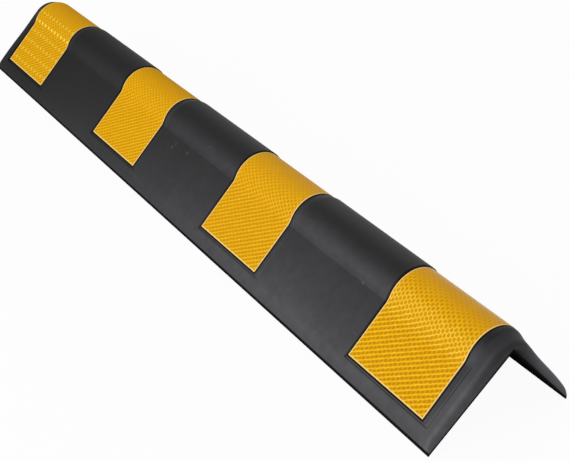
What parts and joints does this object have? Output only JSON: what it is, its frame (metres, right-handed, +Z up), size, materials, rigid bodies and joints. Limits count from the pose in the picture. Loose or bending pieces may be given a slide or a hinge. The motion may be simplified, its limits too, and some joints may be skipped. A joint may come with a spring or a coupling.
{
  "type": "rubber wall corner guard",
  "caption": "Right-angled moulded rubber guard for an outside wall corner, with a raised round nose, tapering flanges, rounded edges and reflective film bands let into shallow pockets.",
  "frame": {"origin": "bottom centre of the guard's box, halfway between the ends and between the two free edges it rests on", "axes": "+X along the guard's length, +Y across it from one flange to the other, +Z up through the nose"},
  "size_m": [0.8, 0.136, 0.0782],
  "materials": {
    "rubber": "satin moulded",
    "reflective_film": "glossy prismatic film"
  },
  "bodies": {
    "root": {"rubber_body": "rubber", "reflective_band_1": "reflective_film", "reflective_band_2": "reflective_film", "reflective_band_3": "reflective_film", "reflective_band_4": "reflective_film"}
  },
  "joints": []
}
